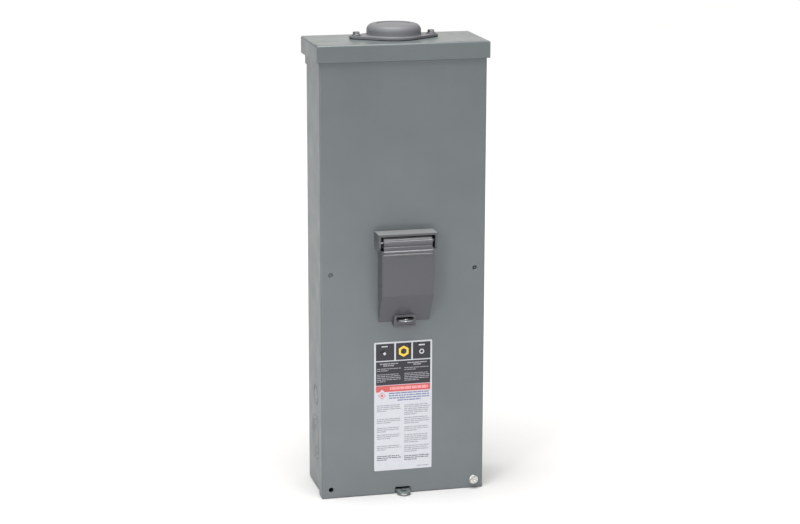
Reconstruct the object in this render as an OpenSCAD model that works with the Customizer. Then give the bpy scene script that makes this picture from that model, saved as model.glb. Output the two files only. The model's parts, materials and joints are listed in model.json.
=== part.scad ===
// Rainproof wall-mounted enclosure for a two-pole circuit breaker.
// Millimetres. +Z is up, the wall is the plane y = 0 and the front faces -Y.
// The origin is the centre of the four wall-screw holes.
// Heights inside the modules are measured from the cover's bottom edge.

/* [Enclosure] */
// Width of the front cover
cover_w = 226; // [222:1:236]
// Height from the cover's bottom edge to the hood's top face
total_h = 618; // [600:1:660]
// Depth from the wall to the cover's face
depth = 102; // [100:1:112]
// Thickness of the sheet steel
sheet = 1.5; // [1.2:0.1:1.6]
// Inset of the side walls from the cover's edges
wall_inset = 3.5; // [3.2:0.1:4]
// Width of the inward lips along the front of the side walls
lip_w = 16; // [15:0.5:20]
// Depth of the cover's side flanges
cover_flange = 16.5; // [12:0.5:17]
// Width between wall-screw holes
screw_span_x = 150; // [140:1:170]
// Height between wall-screw holes
screw_span_z = 540; // [500:1:560]
// Diameter of the wall-screw holes
screw_hole_d = 7.2; // [6:0.1:8]

/* [Hood] */
// Width of the hood
hood_w = 233; // [230:1:244]
// Height of the hood's rain lip
hood_lip = 22.5; // [20:0.5:28]
// How far the hood's lip stands in front of the cover
hood_proud = 3; // [2.8:0.1:4]
// How far the cover's top edge reaches up behind the lip
cover_tuck = 10; // [8:0.5:11]

/* [Hub cap] */
// Diameter of the cap's dome
cap_d = 72.6; // [66:0.2:76]
// Height of the cap above the hood
cap_h = 18; // [16:0.5:24]
// Distance of the cap's centre from the wall
cap_y = 45; // [42:1:50]
// Distance between the cap's two screws
cap_screw_span = 102; // [98:1:106]

/* [Handle bezel and door] */
// Width of the bezel's hood
bezel_w = 80; // [78:1:84]
// How far the bezel's hood stands in front of the cover
bezel_out = 26.5; // [26:0.5:28]
// Height of the bezel's top face
bezel_top = 369; // [368.5:0.5:371]
// Width of the handle door
door_w = 70; // [68:1:71]
// How far the door's flat face stands in front of the cover
door_out = 27; // [26.5:0.5:28]
// Height of the door's bottom edge
door_bottom = 244.5; // [242:0.5:246]
// Height where the door's face starts to slope back
door_bend = 285.5; // [284:0.5:290]
// Height of the hinge pin
pin_z = 357.8; // [357:0.1:358]
// Diameter of the hinge pin
pin_d = 4; // [3.6:0.1:4.2]

/* [Breaker] */
// Width of the breaker
breaker_w = 76; // [74:1:80]
// Height of the breaker
breaker_h = 165; // [160:1:170]
// Height of the breaker's centre
breaker_mid = 309; // [307:0.5:311]
// Distance between pole centres
pole_pitch = 38; // [37:0.5:39]
// Swing of the toggle from on to off, in degrees
toggle_swing = 36; // [30:1:38]

/* [Hidden] */
$fn = 48;
over = 1;

// Enclosure
face_y = -depth;
cover_back_y = face_y + sheet;
box_gap = 1;
box_d = depth - sheet - box_gap;
box_hw = cover_w / 2 - wall_inset;
floor_z = 2.5;
roof_z = total_h - sheet;
lip_z = total_h - hood_lip;
cover_top = lip_z + cover_tuck;
bend_r = 2.5;
corner_screw_x = 100;
corner_screw_z = 12.4;
tab_t = 2;
tab_w = 18.6;
tab_hole_d = 8.6;
tab_out = 6;

// Hub cap
gasket_t = 1;
hub_hole_d = 63;
cap_screw_hole_d = 5.4;
cap_plate_t = 3;
cap_boss_t = 0.8;
cap_wall = 2.6;
cap_flange_r = 38.6;
cap_ear_r = 9.5;

// Mounting pan
pan_back_y = -8;
pan_t = 1.5;
pan_hw = 58;
pan_bottom = 190;
pan_top = 428;
pan_foot = 16;

// Breaker
breaker_back_y = pan_back_y - pan_t;
breaker_split_y = -50;
terminal_face_y = -62;
breaker_face_y = -85;
breaker_low = breaker_mid - breaker_h / 2;
breaker_high = breaker_mid + breaker_h / 2;
pocket_depth = 20.5;
pocket_hw = 13.5;
case_wall = 3;
chamber_hw = (breaker_w - pole_pitch) / 2 - case_wall;
chamber_end = breaker_h / 2 - pocket_depth - 14;
strap_y = -24;
strap_t = 3;
strap_hw = 6;
arm_pivot_z = breaker_mid - 14;
contact_z = arm_pivot_z + 41;
contact_y = strap_y - strap_t - 2;
journal_r = 4;
crossbar_r = 5.5;
trip_low = breaker_mid - chamber_end + 1.5;
trip_high = trip_low + 21;
toggle_y = -70;
drum_r = 11;
drum_w = 18;
lug_bore_r = 7;
lug_y = strap_y - strap_t - 10;
lug_z = breaker_high - 9.75;

// Neutral and ground bars
neutral_x = 66;
neutral_low = 76;
neutral_high = 168;
neutral_base_y = -14;
neutral_face_y = -32;
neutral_bar_low = neutral_low + 10;
neutral_bar_high = neutral_high - 10;
neutral_lug_heights = [neutral_bar_low + 9, neutral_bar_high - 9];
neutral_tap_heights = [for (i = [0:3]) neutral_bar_low + 22 + i * 9.5];
ground_x = -66;
ground_low = 84;
ground_high = 156;
ground_face_y = -12;
ground_tap_heights = [for (i = [0:4]) ground_low + 16 + i * 10];

// Handle bezel
bezel_gasket_t = 0.8;
bezel_plate_t = 2.5;
bezel_plate_y = face_y - bezel_gasket_t - bezel_plate_t;
bezel_cheek_t = 3;
bezel_roof_t = 2.8;
bezel_low = 250.5;
cheek_low = bezel_top - 22.5;
opening_hw = 22;
opening_bottom = 268;
opening_top = 344;
rivet_d = 3.3;
small_rivet_d = 2.5;

// Handle door
door_t = 2;
door_foot_out = 2.6;
door_face = face_y - door_out;
door_back = face_y - 1;
pin_y = door_face + 6.5;
barrel_r = pin_y - door_face;
barrel_hw = 33;
slope_run = door_out - door_foot_out;
slope_rise = door_bend - door_bottom;
slope_len = sqrt(slope_run * slope_run + slope_rise * slope_rise);
// Where the inside of the slope meets the inside of the flat face
slope_in_z = door_bend + door_t * (slope_len - slope_rise) / slope_run;

// Padlock staple and the housing around it
hasp_hw = 15;
hasp_low = 238.3;
hasp_high = 254.5;
hasp_out = 9.5;
hasp_wall = 2;
hasp_floor_t = 2.4;
tab_low = hasp_low + hasp_floor_t + 0.5;
staple_z = 247.6;
staple_t = 1.8;
staple_hole_d = 7;
staple_hw = 11.2;
staple_leg_y = bezel_plate_y - staple_t;

// Cover screw
washer_t = 1.2;
washer_r = 6.5;
washer_y = face_y - washer_t - 0.3;
screw_flange_r = 5.9;

// ---- Helpers ----

module from_bottom() {
    translate([0, 0, -total_h / 2]) children();
}

// Solid block between two opposite corners
module block(low, high) {
    translate(low) cube(high - low);
}

// Profile drawn in (y, z), extruded along X and centred on x = 0
module along_x(length) {
    translate([-length / 2, 0, 0]) rotate([90, 0, 90]) linear_extrude(length) children();
}

// Profile drawn in (x, z), extruded from y_low to y_high
module along_y(y_low, y_high) {
    translate([0, y_high, 0]) rotate([90, 0, 0]) linear_extrude(y_high - y_low) children();
}

module rod_x(r, length) {
    rotate([0, 90, 0]) cylinder(r = r, h = length, center = true);
}

// Round bar along Y between two depths
module rod_y(r, y_low, y_high) {
    translate([0, y_high, 0]) rotate([90, 0, 0]) cylinder(r = r, h = y_high - y_low);
}

module rounded_rect(low, high, r) {
    translate([low[0] + r, low[1]]) square([high[0] - low[0] - 2 * r, high[1] - low[1]]);
    translate([low[0], low[1] + r]) square([high[0] - low[0], high[1] - low[1] - 2 * r]);
    for (x = [low[0] + r, high[0] - r], y = [low[1] + r, high[1] - r])
        translate([x, y]) circle(r);
}

// What a round edge of radius r, centred on the origin, takes off a square corner
module corner_waste(r) {
    difference() {
        square(r + over);
        circle(r);
    }
}

module mirrored_x() {
    children();
    mirror([1, 0, 0]) children();
}

// Two poles of the breaker
module each_pole() {
    for (x = [-pole_pitch / 2, pole_pitch / 2]) translate([x, 0, 0]) children();
}

// Pan-head screw along -Y: the head's underside is at y = 0 and the shank runs to +Y
module pan_screw(head_r, head_t, shank_r, shank_len) {
    difference() {
        union() {
            rod_y(head_r, -head_t, 0);
            rod_y(shank_r, -head_t / 2, shank_len);
        }
        block([-head_r, -head_t - over, -0.5], [head_r, -head_t * 0.5, 0.5]);
    }
}

// Ring grooves of a partly punched knockout, cut to z = -groove_t from the plane z = 0
module knockout(diameters) {
    groove_w = 1.2;
    groove_t = 0.7;
    tie_w = 4;
    for (i = [0:len(diameters) - 1])
        rotate([0, 0, 90 * i])
            difference() {
                translate([0, 0, -groove_t])
                    cylinder(d = diameters[i] + groove_w, h = groove_t + over);
                translate([0, 0, -groove_t - over])
                    cylinder(d = diameters[i] - groove_w, h = groove_t + 3 * over);
                translate([-diameters[i], -tie_w / 2, -groove_t - over])
                    cube([2 * diameters[i], tie_w, groove_t + 3 * over]);
            }
}

// Trade sizes of the concentric knockouts, largest first
large_knockout = [61.5, 50, 43.7, 34.5, 28.2];
small_knockout = [28.2, 22.2];

module side_knockouts() {
    knockout_y = -box_d / 2;
    mirrored_x()
        translate([-box_hw, knockout_y, 0]) rotate([0, -90, 0]) {
            translate([73, 0, 0]) knockout(large_knockout);
            translate([133, 0, 0]) knockout(small_knockout);
        }
}

// ---- Enclosure ----

// Plan of the wrapped sheet: back panel, side walls and front lips
module box_plan() {
    difference() {
        translate([-box_hw, -box_d]) square([2 * box_hw, box_d]);
        translate([-box_hw + sheet, -box_d + sheet])
            square([2 * (box_hw - sheet), box_d - 2 * sheet]);
        mirrored_x() translate([box_hw - bend_r, -bend_r]) corner_waste(bend_r);
        translate([-box_hw + lip_w, -box_d - over])
            square([2 * (box_hw - lip_w), sheet + 2 * over]);
    }
}

module wall_holes() {
    for (x = [-screw_span_x / 2, screw_span_x / 2])
        for (z = [(total_h - screw_span_z) / 2, (total_h + screw_span_z) / 2])
            translate([x, 0, z]) rod_y(screw_hole_d / 2, -sheet - over, over);
}

module pan_screw_places() {
    for (x = [-pan_hw + 12, pan_hw - 12])
        for (z = [pan_bottom - pan_foot / 2, pan_top + pan_foot / 2])
            translate([x, 0, z]) children();
}

module ground_screw_places() {
    for (z = [ground_low + 6, ground_high - 6]) translate([ground_x, 0, z]) children();
}

module neutral_screw_places() {
    for (z = [neutral_low + 5, neutral_high - 5]) translate([neutral_x, 0, z]) children();
}

module back_box() {
    color("slategray") from_bottom() difference() {
        translate([0, 0, floor_z]) linear_extrude(roof_z - floor_z) box_plan();
        wall_holes();
        pan_screw_places() rod_y(2.05, -sheet - over, over);
        ground_screw_places() rod_y(2.05, -sheet - over, over);
        neutral_screw_places() rod_y(2.05, -sheet - over, over);
        for (x = [-corner_screw_x, corner_screw_x])
            translate([x, 0, corner_screw_z]) rod_y(3.6, -box_d - over, -box_d + sheet + over);
        side_knockouts();
    }
}

// Outer shape of the hood shrunk by inset, with its front and side edges rounded
module hood_body(inset) {
    r = bend_r - inset;
    front = face_y - hood_proud + inset;
    half = hood_w / 2 - inset;
    top = total_h - inset;
    low = lip_z - 2 * inset;
    intersection() {
        along_x(hood_w + 2 * over) {
            translate([front + r, low]) square([-front - r + 2 * inset, top - low]);
            translate([front, low]) square([-front, top - low - r]);
            translate([front + r, top - r]) circle(r);
        }
        along_y(front - over, 2 * inset) {
            translate([-half + r, low]) square([2 * (half - r), top - low]);
            translate([-half, low]) square([2 * half, top - low - r]);
            mirrored_x() translate([half - r, top - r]) circle(r);
        }
    }
}

module top_hood() {
    seam = 0.8;
    tab_drop = 14.5;
    tab_front = face_y + 18.5;
    lip_back = face_y - hood_proud + sheet;
    color("darkgray") from_bottom() difference() {
        union() {
            difference() {
                hood_body(0);
                hood_body(sheet);
            }
            // Joggled tabs welded to the outside of the side walls
            mirrored_x() {
                block([box_hw, tab_front, lip_z], [hood_w / 2 - sheet / 2, 0, lip_z + sheet]);
                block([box_hw, tab_front, lip_z - tab_drop], [box_hw + sheet, 0, lip_z + sheet]);
            }
            // Rear flange inside the back panel
            block([-box_hw + 4, -2 * sheet, roof_z - 18], [box_hw - 4, -sheet, roof_z + sheet / 2]);
        }
        // Open corner seams between the front lip and the side lips
        mirrored_x()
            block([hood_w / 2 - sheet - 0.1, lip_back, lip_z - over],
                  [hood_w / 2 + over, lip_back + seam, total_h - bend_r]);
        // Hub opening and the holes of the cap's screws
        translate([0, -cap_y, roof_z - over]) cylinder(d = hub_hole_d, h = sheet + 2 * over);
        for (x = [-cap_screw_span / 2, cap_screw_span / 2])
            translate([x, -cap_y, roof_z - over])
                cylinder(d = cap_screw_hole_d, h = sheet + 2 * over);
    }
}

module bottom_wall() {
    inner = box_hw - sheet;
    front_hw = box_hw - lip_w - 0.5;
    lip_back_y = -box_d + sheet;
    upturn = 12;
    color("slategray") from_bottom() difference() {
        union() {
            block([-inner, lip_back_y, floor_z], [inner, -sheet - 0.6, floor_z + sheet]);
            mirrored_x()
                block([inner - sheet, lip_back_y + 14, floor_z], [inner, -6, floor_z + upturn]);
            block([-front_hw, -box_d, floor_z], [front_hw, lip_back_y + 0.01, floor_z + upturn]);
        }
        // Passage for the hasp tab
        block([-tab_w / 2 - 0.4, -box_d - over, floor_z + sheet],
              [tab_w / 2 + 0.4, lip_back_y + 0.5, floor_z + upturn + over]);
        translate([0, 0, floor_z]) rotate([180, 0, 0]) {
            translate([-58, 48, 0]) knockout(large_knockout);
            translate([58, 48, 0]) knockout(large_knockout);
            translate([0, 48, 0]) knockout(small_knockout);
        }
    }
}

// Flat tab that passes through the cover's notch and takes a padlock
module cover_hasp_tab() {
    nose_y = face_y - tab_out;
    root_y = -62;
    color("lightslategray") from_bottom() translate([0, 0, floor_z + sheet])
        difference() {
            linear_extrude(tab_t) {
                translate([0, nose_y]) circle(d = tab_w);
                translate([-tab_w / 2, nose_y]) square([tab_w, root_y - nose_y]);
            }
            translate([0, nose_y, -over]) cylinder(d = tab_hole_d, h = tab_t + 2 * over);
        }
}

// Nut welded behind the lip for the cover screw
module corner_nut() {
    nut_t = 4.5;
    back = -box_d + sheet;
    color("silver") from_bottom() translate([corner_screw_x, 0, corner_screw_z])
        difference() {
            translate([0, back + nut_t, 0]) rotate([90, 0, 0]) cylinder(d = 11.5, h = nut_t, $fn = 6);
            rod_y(3.1, back - over, back + nut_t + over);
        }
}

// ---- Hub cap ----

// Plate with a round centre and two tapering ears
module ear_plate(centre_r, ear_r, t) {
    reach = cap_screw_span / 2;
    tangent = acos((centre_r - ear_r) / reach);
    centre_side = 0.985 * centre_r * [cos(tangent), sin(tangent)];
    ear_side = [reach, 0] + 0.96 * ear_r * [cos(tangent), sin(tangent)];
    cylinder(r = centre_r, h = t);
    mirrored_x() {
        translate([reach, 0, 0]) cylinder(r = ear_r, h = t);
        linear_extrude(t) polygon([
            [0, 0],
            centre_side,
            ear_side,
            [ear_side[0], -ear_side[1]],
            [centre_side[0], -centre_side[1]]
        ]);
    }
}

module cap_screw_places() {
    for (x = [-cap_screw_span / 2, cap_screw_span / 2]) translate([x, -cap_y, 0]) children();
}

module hub_gasket() {
    inset = 0.6;
    color("dimgray") from_bottom() difference() {
        translate([0, -cap_y, total_h])
            ear_plate(cap_flange_r - inset, cap_ear_r - inset, gasket_t);
        translate([0, -cap_y, total_h - over]) cylinder(d = hub_hole_d, h = gasket_t + 2 * over);
        cap_screw_places() translate([0, 0, total_h - over])
            cylinder(d = cap_screw_hole_d, h = gasket_t + 2 * over);
    }
}

// Half section of the domed cap, in (radius, height)
module cap_section() {
    r = cap_d / 2;
    edge = 8.5;
    flare = 2.3;
    dish_r = 23;
    dish_t = 0.7;
    difference() {
        union() {
            square([r, cap_h - edge]);
            square([r - edge, cap_h]);
            translate([r - edge, cap_h - edge]) circle(edge);
            // Flare at the foot of the dome
            difference() {
                square([cap_flange_r, cap_plate_t + flare]);
                translate([cap_flange_r, cap_plate_t + flare]) circle(flare);
            }
        }
        translate([0, -over]) square([r - cap_wall, cap_h - edge + over]);
        translate([0, -over]) square([r - edge, cap_h - cap_wall + over]);
        translate([r - edge, cap_h - edge]) circle(edge - cap_wall);
        translate([0, cap_h - dish_t]) square([dish_r, dish_t + over]);
        translate([-cap_d, -over]) square([cap_d, cap_h + 2 * over]);
    }
}

module hub_closing_cap() {
    base_z = total_h + gasket_t;
    color("gray") from_bottom() difference() {
        union() {
            translate([0, -cap_y, base_z]) rotate_extrude($fn = 96) cap_section();
            translate([0, -cap_y, base_z]) difference() {
                ear_plate(cap_flange_r, cap_ear_r, cap_plate_t);
                translate([0, 0, -over])
                    cylinder(r = cap_d / 2 - cap_wall, h = cap_plate_t + 2 * over);
            }
            cap_screw_places() translate([0, 0, base_z])
                cylinder(r = 7, h = cap_plate_t + cap_boss_t);
        }
        cap_screw_places() translate([0, 0, base_z - over])
            cylinder(d = cap_screw_hole_d, h = cap_plate_t + cap_boss_t + 2 * over);
    }
}

module hub_screws() {
    seat_z = total_h + gasket_t + cap_plate_t + cap_boss_t;
    color("silver") from_bottom() cap_screw_places() difference() {
        union() {
            translate([0, 0, roof_z - 7]) cylinder(d = 4.8, h = seat_z - roof_z + 8);
            translate([0, 0, seat_z]) cylinder(d = 11.5, h = 0.9);
            translate([0, 0, seat_z]) cylinder(d = 9.4, h = 4.4, $fn = 6);
        }
        translate([-6, -0.6, seat_z + 3]) cube([12, 1.2, 3]);
    }
}

module hub_nuts() {
    color("silver") from_bottom() cap_screw_places() difference() {
        translate([0, 0, roof_z - 4]) cylinder(d = 10, h = 4, $fn = 6);
        translate([0, 0, roof_z - 5]) cylinder(d = 4.9, h = 6);
    }
}

// ---- Mounting pan ----

module mounting_pan() {
    color("lightgray") from_bottom() difference() {
        union() {
            block([-pan_hw, pan_back_y - pan_t, pan_bottom], [pan_hw, pan_back_y, pan_top]);
            for (z = [pan_bottom, pan_top - pan_t])
                block([-pan_hw, pan_back_y - pan_t, z], [pan_hw, -sheet, z + pan_t]);
            block([-pan_hw, -sheet - pan_t, pan_bottom - pan_foot], [pan_hw, -sheet, pan_bottom + pan_t]);
            block([-pan_hw, -sheet - pan_t, pan_top - pan_t], [pan_hw, -sheet, pan_top + pan_foot]);
        }
        pan_screw_places() rod_y(2.2, -sheet - pan_t - over, over);
        breaker_screw_places() rod_y(1.95, pan_back_y - pan_t - over, pan_back_y + over);
    }
}

module pan_screws() {
    color("silver") from_bottom() pan_screw_places()
        translate([0, -sheet - pan_t, 0]) pan_screw(4.2, 2.6, 2, 2.8);
}

// ---- Breaker ----

module breaker_screw_places() {
    for (z = [breaker_low + 7, breaker_high - 7]) translate([0, 0, z]) children();
}

module case_screw_places() {
    for (x = [-1, 1], z = [-1, 1])
        translate([x * (breaker_w / 2 - 5.5), 0, breaker_mid + z * (chamber_end + 7)]) children();
}

// The same thing at the load end as at the line end
module load_end() {
    translate([0, 0, 2 * breaker_mid]) mirror([0, 0, 1]) children();
}

module chambers(y_low, y_high) {
    each_pole()
        block([-chamber_hw, y_low, breaker_mid - chamber_end],
              [chamber_hw, y_high, breaker_mid + chamber_end]);
}

// Bearings of the contact crossbar, half in the base and half in the cover
module crossbar_bearings() {
    translate([0, breaker_split_y, arm_pivot_z]) {
        rod_x(journal_r + 0.06, breaker_w - 1);
        rod_x(crossbar_r + 0.45, 2 * case_wall + 6);
    }
}

module breaker_base() {
    hw = breaker_w / 2;
    color("dimgray") from_bottom() difference() {
        block([-hw, breaker_split_y, breaker_low], [hw, breaker_back_y, breaker_high]);
        chambers(breaker_split_y - over, breaker_back_y - 4.5);
        for (end = [0, 1]) translate([0, 0, end * 2 * breaker_mid]) mirror([0, 0, end])
            each_pole() {
                block([-pocket_hw, breaker_split_y - over, breaker_high - pocket_depth],
                      [pocket_hw, strap_y, breaker_high + over]);
                block([-strap_hw - 0.1, strap_y - strap_t - 0.1, breaker_mid + chamber_end - over],
                      [strap_hw + 0.1, strap_y, breaker_high]);
            }
        crossbar_bearings();
        breaker_screw_places() rod_y(2.1, breaker_split_y - over, breaker_back_y + over);
        case_screw_places() rod_y(1.55, breaker_split_y - over, breaker_split_y + 14);
    }
}

module breaker_cover() {
    hw = breaker_w / 2;
    nose_hw = 24;
    nose_high = 27;
    nose_t = 10;
    slot_hw = drum_w / 2 + 0.6;
    color("dimgray") from_bottom() difference() {
        union() {
            difference() {
                union() {
                    block([-hw, terminal_face_y, breaker_low], [hw, breaker_split_y, breaker_high]);
                    block([-hw, breaker_face_y, breaker_mid - chamber_end - 4],
                          [hw, breaker_split_y, breaker_mid + chamber_end + 4]);
                    block([-nose_hw, breaker_face_y - nose_t, breaker_mid - nose_high],
                          [nose_hw, breaker_face_y + over, breaker_mid + nose_high]);
                }
                chambers(breaker_face_y + case_wall, breaker_split_y + over);
                translate([0, toggle_y, breaker_mid]) rod_x(drum_r + 0.7, drum_w + 1.2);
            }
            // Ears that hold the toggle's pin
            mirrored_x()
                block([slot_hw, breaker_face_y + case_wall / 2, breaker_mid - 6],
                      [14, toggle_y + 6, breaker_mid + 6]);
        }
        translate([0, toggle_y, breaker_mid]) rod_x(2.03, 28.1);
        block([-slot_hw, breaker_face_y - nose_t - over, breaker_mid - 16],
              [slot_hw, toggle_y, breaker_mid + 16]);
        crossbar_bearings();
        breaker_screw_places() rod_y(2.1, terminal_face_y - over, breaker_split_y + over);
        case_screw_places() rod_y(1.75, breaker_face_y - over, breaker_split_y + over);
        for (end = [0, 1]) translate([0, 0, end * 2 * breaker_mid]) mirror([0, 0, end])
            each_pole() translate([0, 0, lug_z])
                rod_y(6.2, terminal_face_y - over, breaker_split_y + over);
    }
}

module breaker_case_screws() {
    color("silver") from_bottom() case_screw_places()
        translate([0, terminal_face_y, 0]) pan_screw(2.8, 2, 1.5, 24);
}

module breaker_mounting_screws() {
    length = breaker_back_y - terminal_face_y + pan_t;
    color("silver") from_bottom() breaker_screw_places()
        translate([0, terminal_face_y, 0]) pan_screw(3.8, 2.5, 1.9, length);
}

module line_terminals() {
    color("peru") from_bottom() each_pole() {
        block([-strap_hw, strap_y - strap_t, contact_z - 5], [strap_hw, strap_y, breaker_high - 1]);
        translate([0, 0, contact_z]) rod_y(4, contact_y, strap_y - strap_t);
    }
}

module load_terminals() {
    color("peru") from_bottom() each_pole()
        block([-strap_hw, strap_y - strap_t, breaker_low + 1], [strap_hw, strap_y, trip_high]);
}

module trip_units() {
    color("black") from_bottom() each_pole() difference() {
        block([-chamber_hw + 2, -47, trip_low], [chamber_hw - 2, strap_y - strap_t, trip_high]);
        translate([0, 0, trip_low + 10]) rod_y(3.2, -48, -44);
    }
}

module lugs() {
    each_pole() difference() {
        block([-12, lug_y - 10, lug_z - 8.75], [12, strap_y - strap_t, lug_z + 8.75]);
        translate([0, lug_y, lug_z - 10]) cylinder(r = lug_bore_r, h = 20);
        translate([0, 0, lug_z]) rod_y(4.55, lug_y - 11, lug_y);
    }
}

module line_lugs() {
    color("gainsboro") from_bottom() lugs();
}

module load_lugs() {
    color("gainsboro") from_bottom() load_end() lugs();
}

module lug_screws() {
    color("silver") from_bottom()
        for (end = [0, 1]) translate([0, 0, end * 2 * breaker_mid]) mirror([0, 0, end])
            each_pole() translate([0, 0, lug_z]) difference() {
                rod_y(4.5, lug_y - 16, lug_y - lug_bore_r - 0.3);
                translate([0, lug_y - 12, 0]) rotate([90, 0, 0]) cylinder(d = 5, h = 6, $fn = 6);
            }
}

module arc_chutes() {
    plates = 4;
    pitch = 3;
    low = contact_z + 8.3;
    color("silver") from_bottom() each_pole() {
        for (i = [0:plates - 1])
            block([-11, -60, low + i * pitch], [11, -31, low + i * pitch + 1.2]);
        // Fibre side plates that carry the steel plates
        for (x = [-12.5, 11])
            block([x, -62, low - 0.5], [x + 1.5, -29, low + (plates - 1) * pitch + 1.7]);
    }
}

module toggle_pin() {
    color("silver") from_bottom()
        translate([0, toggle_y, breaker_mid]) rod_x(2, 28);
}

module breaker_toggle() {
    reach = 46;
    tip_r = 4.5;
    width = 16;
    color("black") from_bottom() translate([0, toggle_y, breaker_mid])
        rotate([-toggle_swing / 2, 0, 0]) difference() {
            union() {
                rod_x(drum_r, drum_w);
                along_x(width) {
                    polygon([[0, 6.5], [0, -6.5], [-reach, -tip_r], [-reach, tip_r]]);
                    translate([-reach, 0]) circle(tip_r);
                }
                // Finger ribs on both faces of the lever
                for (z = [-1, 1], y = [32, 36, 40])
                    translate([0, -y, z * (6.4 - y * 0.0435)]) rod_x(0.9, width);
            }
            rod_x(2.06, width + 4);
        }
}

module contact_crossbar() {
    color("saddlebrown") from_bottom() translate([0, breaker_split_y, arm_pivot_z]) {
        rod_x(crossbar_r, pole_pitch + 2 * chamber_hw - 1);
        rod_x(journal_r, breaker_w - 1.6);
    }
}

module contact_arms() {
    arm_w = 8;
    arm_t = 5;
    rest_gap = 0.35;
    pad_back_y = contact_y - rest_gap;
    rise = contact_z - arm_pivot_z;
    set_back = pad_back_y - 5 - breaker_split_y;
    lean = atan(set_back / rise);
    color("chocolate") from_bottom() translate([0, breaker_split_y, arm_pivot_z]) each_pole()
        difference() {
            union() {
                rod_x(8.5, arm_w);
                rotate([-lean, 0, 0])
                    block([-arm_w / 2, -arm_t / 2, 0], [arm_w / 2, arm_t / 2, rise / cos(lean) + 3]);
                translate([0, 0, rise])
                    rod_y(3.5, set_back - 1, pad_back_y - breaker_split_y);
            }
            rod_x(crossbar_r + 0.02, arm_w + 2);
        }
}

// ---- Neutral and ground bars ----

module neutral_insulator() {
    color("ivory") from_bottom() difference() {
        block([neutral_x - 15, neutral_base_y, neutral_low - 2],
              [neutral_x + 15, -sheet, neutral_high + 2]);
        neutral_screw_places() rod_y(2.1, neutral_base_y - over, 0);
    }
}

// Conductor holes run along X and their clamp screws along Y
module neutral_bar() {
    hw = 11;
    color("gainsboro") from_bottom() translate([neutral_x, 0, 0]) difference() {
        block([-hw, neutral_face_y, neutral_bar_low], [hw, neutral_base_y, neutral_bar_high]);
        for (z = neutral_lug_heights) translate([0, -22, z]) {
            rod_x(6, 2 * hw + 2 * over);
            rod_y(3.55, -12, 0);
        }
        for (z = neutral_tap_heights) translate([0, -24, z]) {
            rod_x(2.6, 2 * hw + 2 * over);
            rod_y(2.05, -10, 0);
        }
    }
}

module neutral_screws() {
    color("silver") from_bottom() translate([neutral_x, 0, 0]) {
        for (z = neutral_lug_heights) translate([0, 0, z]) difference() {
            rod_y(3.5, neutral_face_y - 4, -28.2);
            translate([0, neutral_face_y - 1, 0]) rotate([90, 0, 0])
                cylinder(d = 4, h = 4, $fn = 6);
        }
        for (z = neutral_tap_heights)
            translate([0, neutral_face_y - 1.5, z]) pan_screw(2.9, 1.8, 2, 6.7);
    }
}

module neutral_mounting_screws() {
    color("silver") from_bottom() neutral_screw_places()
        translate([0, neutral_base_y, 0]) pan_screw(3.8, 2.4, 2, -neutral_base_y - 0.3);
}

module ground_bar() {
    hw = 6;
    color("gainsboro") from_bottom() difference() {
        translate([ground_x, 0, 0])
            block([-hw, ground_face_y, ground_low], [hw, -sheet, ground_high]);
        ground_screw_places() rod_y(2.1, ground_face_y - over, 0);
        for (z = ground_tap_heights) translate([ground_x, -6.5, z]) {
            rod_x(2.4, 2 * hw + 2 * over);
            rod_y(1.85, -7, 0);
        }
    }
}

module ground_screws() {
    color("limegreen") from_bottom() {
        ground_screw_places()
            translate([0, ground_face_y, 0]) pan_screw(3.8, 2.4, 2, -ground_face_y - 0.3);
        for (z = ground_tap_heights)
            translate([ground_x, ground_face_y - 1, z]) pan_screw(2.7, 1.8, 1.8, 4);
    }
}

// ---- Cover ----

// Outer shape of the cover shrunk by inset, open behind and above when it is inset
module cover_body(inset) {
    r = 2 - inset;
    edge_r = max(bend_r - inset, 0.4);
    front = face_y + inset;
    half = cover_w / 2 - inset;
    back = face_y + cover_flange + 2 * inset;
    high = cover_top + 2 * inset;
    intersection() {
        translate([0, 0, inset]) linear_extrude(high - inset) {
            translate([-half + r, front]) square([2 * (half - r), back - front]);
            translate([-half, front + r]) square([2 * half, back - front - r]);
            mirrored_x() translate([half - r, front + r]) circle(r);
        }
        along_x(cover_w + 2 * over) {
            translate([front + r, inset]) square([back - front - r, high - inset]);
            translate([front, inset + r]) square([back - front, high - inset - r]);
            translate([front + r, inset + r]) circle(r);
        }
        along_y(front - over, back + over) {
            translate([-half + edge_r, inset]) square([2 * (half - edge_r), high - inset]);
            translate([-half, inset + edge_r]) square([2 * half, high - inset - edge_r]);
            mirrored_x() translate([half - edge_r, inset + edge_r]) circle(edge_r);
        }
    }
}

module dimple_places() {
    for (x = [-99, 99]) translate([x, 0, 311.7]) children();
}

module bezel_rivet_places() {
    for (x = [-28.5, 28.5], z = [256, 352]) translate([x, 0, z]) children();
}

module front_cover() {
    notch_hw = 11.5;
    notch_top = 9.5;
    dimple_depth = 1.6;
    dimple_boss = 0.7;
    color("slategray") from_bottom() difference() {
        union() {
            difference() {
                cover_body(0);
                cover_body(sheet);
            }
            dimple_places() rod_y(4, cover_back_y - 0.1, cover_back_y + dimple_boss);
        }
        block([-opening_hw - 2, face_y - over, opening_bottom - 2],
              [opening_hw + 2, cover_back_y + over, opening_top + 2]);
        block([-notch_hw, face_y - over, -over], [notch_hw, cover_back_y + 1, notch_top]);
        for (x = [-corner_screw_x, corner_screw_x])
            translate([x, 0, corner_screw_z]) rod_y(3.4, face_y - over, cover_back_y + over);
        dimple_places() translate([0, face_y + dimple_depth, 0]) rotate([90, 0, 0])
            cylinder(r1 = 2.6, r2 = 3.8, h = dimple_depth + 0.01);
        bezel_rivet_places() rod_y(rivet_d / 2 + 0.05, face_y - over, cover_back_y + over);
    }
}

module rating_label() {
    color("white") from_bottom()
        along_y(face_y - 0.3, face_y) rounded_rect([-40.2, 34.4], [40.2, 215.5], 1.5);
}

// ---- Handle bezel ----

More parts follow.
